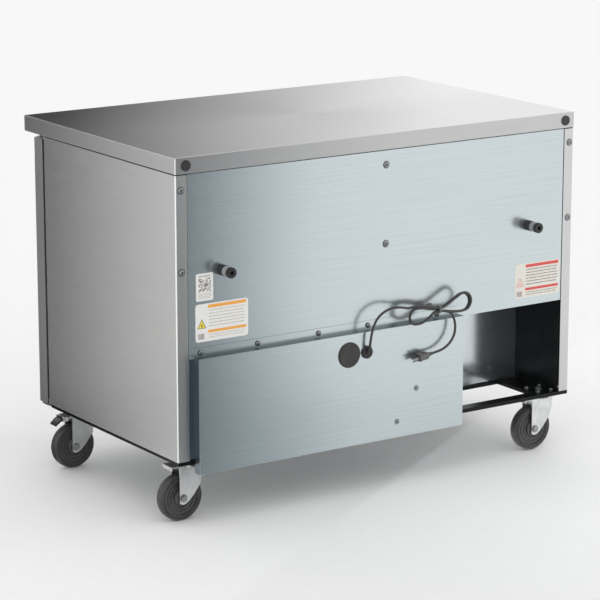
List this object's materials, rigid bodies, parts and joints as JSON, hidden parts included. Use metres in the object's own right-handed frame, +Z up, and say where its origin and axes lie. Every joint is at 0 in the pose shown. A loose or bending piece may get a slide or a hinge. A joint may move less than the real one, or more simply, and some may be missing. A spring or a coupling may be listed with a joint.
{
  "type": "undercounter refrigerator",
  "caption": "Two-door stainless undercounter refrigerator on swivel casters, with a flat worktop and a rear machine bay.",
  "frame": {"origin": "centre of the base of the box the unit stands in, on the floor", "axes": "+Z up; the doors face -Y and the machine bay faces +Y; +X is the unit's right side seen from the doors"},
  "size_m": [1.253, 0.8093, 0.918],
  "materials": {
    "stainless": "brushed",
    "galvanised": "galvanised",
    "black_steel": "satin black paint",
    "zinc": "zinc plated",
    "aluminium": "mill finish",
    "rubber": "matt",
    "black_plastic": "matt",
    "nylon": "grey nylon",
    "foam": "rigid foam",
    "coated_wire": "epoxy coated"
  },
  "bodies": {
    "cabinet": {"worktop": "stainless", "side_panel_right": "stainless", "side_panel_left": "stainless", "face_frame": "stainless", "rear_panel": "galvanised", "bay_liner": "galvanised", "floor_skin": "galvanised", "rear_cover": "galvanised", "unit_tray": "galvanised", "bay_side_left": "black_steel", "base_rail_rear": "black_steel", "base_rail_right": "black_steel", "base_rail_left": "black_steel", "base_rail_middle": "black_steel", "compressor": "black_steel", "condenser_shroud": "black_steel", "caster_plate_rear_right": "zinc", "caster_plate_rear_left": "zinc", "caster_plate_front_right": "zinc", "caster_plate_front_left": "zinc", "hinge_top_right": "zinc", "hinge_bottom_right": "zinc", "hinge_top_left": "zinc", "hinge_bottom_left": "zinc", "inner_liner": "aluminium", "evaporator_cover": "aluminium", "evaporator_coil": "aluminium", "condenser_coil": "aluminium", "wall_bumper_right": "rubber", "wall_bumper_left": "rubber", "cord_gland": "rubber", "cord_lead": "rubber", "cord_hank": "rubber", "cord_tail": "rubber", "cord_plug": "rubber", "worktop_plug_right": "black_plastic", "worktop_plug_left": "black_plastic", "blank_disc": "black_plastic", "cord_tie": "nylon", "insulated_body": "foam"},
    "door_right_leaf": {"door_right": "stainless", "door_inner_right": "aluminium", "door_gasket_right": "rubber"},
    "shelf_right_rack": {"shelf_right": "coated_wire"},
    "door_left_leaf": {"door_left": "stainless", "door_inner_left": "aluminium", "door_gasket_left": "rubber"},
    "shelf_left_rack": {"shelf_left": "coated_wire"},
    "swivel_rear_right": {"caster_fork_rear_right": "zinc"},
    "wheel_rear_right": {"caster_wheel_rear_right": "rubber"},
    "swivel_rear_left": {"caster_fork_rear_left": "zinc"},
    "wheel_rear_left": {"caster_wheel_rear_left": "rubber"},
    "swivel_front_right": {"caster_fork_front_right": "zinc"},
    "wheel_front_right": {"caster_wheel_front_right": "rubber"},
    "swivel_front_left": {"caster_fork_front_left": "zinc"},
    "wheel_front_left": {"caster_wheel_front_left": "rubber"},
    "pedal_front_right": {"brake_pedal_front_right": "black_steel"},
    "pedal_front_left": {"brake_pedal_front_left": "black_steel"},
    "evaporator_rotor": {"evaporator_fan": "black_plastic"},
    "condenser_rotor": {"condenser_fan": "aluminium"}
  },
  "joints": [
    {"name": "door_right_hinge", "type": "hinge", "parent": "cabinet", "child": "door_right_leaf", "pos_m": [0.587, -0.33025, 0.5132], "axis": [0, 0, 1], "range_deg": [0, 110]},
    {"name": "door_left_hinge", "type": "hinge", "parent": "cabinet", "child": "door_left_leaf", "pos_m": [-0.615, -0.33025, 0.5132], "axis": [0, 0, 1], "range_deg": [-110, 0]},
    {"name": "shelf_right_lift", "type": "slide", "parent": "cabinet", "child": "shelf_right_rack", "axis": [0, 0, 1], "range_m": [0, 0.04]},
    {"name": "shelf_left_lift", "type": "slide", "parent": "cabinet", "child": "shelf_left_rack", "axis": [0, 0, 1], "range_m": [0, 0.04]},
    {"name": "swivel_rear_right_turn", "type": "hinge", "parent": "cabinet", "child": "swivel_rear_right", "pos_m": [0.5385, 0.3045, 0.146], "axis": [0, 0, 1], "range_deg": [-205, 26]},
    {"name": "wheel_rear_right_spin", "type": "hinge", "parent": "swivel_rear_right", "child": "wheel_rear_right", "pos_m": [0.5665, 0.3045, 0.06], "axis": [0, 1, 0], "continuous": true},
    {"name": "swivel_rear_left_turn", "type": "hinge", "parent": "cabinet", "child": "swivel_rear_left", "pos_m": [-0.5665, 0.3045, 0.146], "axis": [0, 0, 1], "continuous": true},
    {"name": "wheel_rear_left_spin", "type": "hinge", "parent": "swivel_rear_left", "child": "wheel_rear_left", "pos_m": [-0.5385, 0.3045, 0.06], "axis": [0, 1, 0], "continuous": true},
    {"name": "swivel_front_right_turn", "type": "hinge", "parent": "cabinet", "child": "swivel_front_right", "pos_m": [0.5385, -0.235, 0.146], "axis": [0, 0, 1], "continuous": true},
    {"name": "wheel_front_right_spin", "type": "hinge", "parent": "swivel_front_right", "child": "wheel_front_right", "pos_m": [0.5665, -0.235, 0.06], "axis": [0, 1, 0], "continuous": true},
    {"name": "swivel_front_left_turn", "type": "hinge", "parent": "cabinet", "child": "swivel_front_left", "pos_m": [-0.5665, -0.235, 0.146], "axis": [0, 0, 1], "continuous": true},
    {"name": "wheel_front_left_spin", "type": "hinge", "parent": "swivel_front_left", "child": "wheel_front_left", "pos_m": [-0.5385, -0.235, 0.06], "axis": [0, 1, 0], "continuous": true},
    {"name": "pedal_front_right_press", "type": "hinge", "parent": "swivel_front_right", "child": "pedal_front_right", "pos_m": [0.5995, -0.235, 0.137], "axis": [0, 1, 0], "range_deg": [0, 15]},
    {"name": "pedal_front_left_press", "type": "hinge", "parent": "swivel_front_left", "child": "pedal_front_left", "pos_m": [-0.5055, -0.235, 0.137], "axis": [0, 1, 0], "range_deg": [0, 15]},
    {"name": "evaporator_fan_spin", "type": "hinge", "parent": "cabinet", "child": "evaporator_rotor", "pos_m": [0.056, 0.172, 0.73], "axis": [0, 1, 0], "continuous": true},
    {"name": "condenser_fan_spin", "type": "hinge", "parent": "cabinet", "child": "condenser_rotor", "pos_m": [-0.1505, 0.2545, 0.285], "axis": [1, 0, 0], "continuous": true}
  ]
}
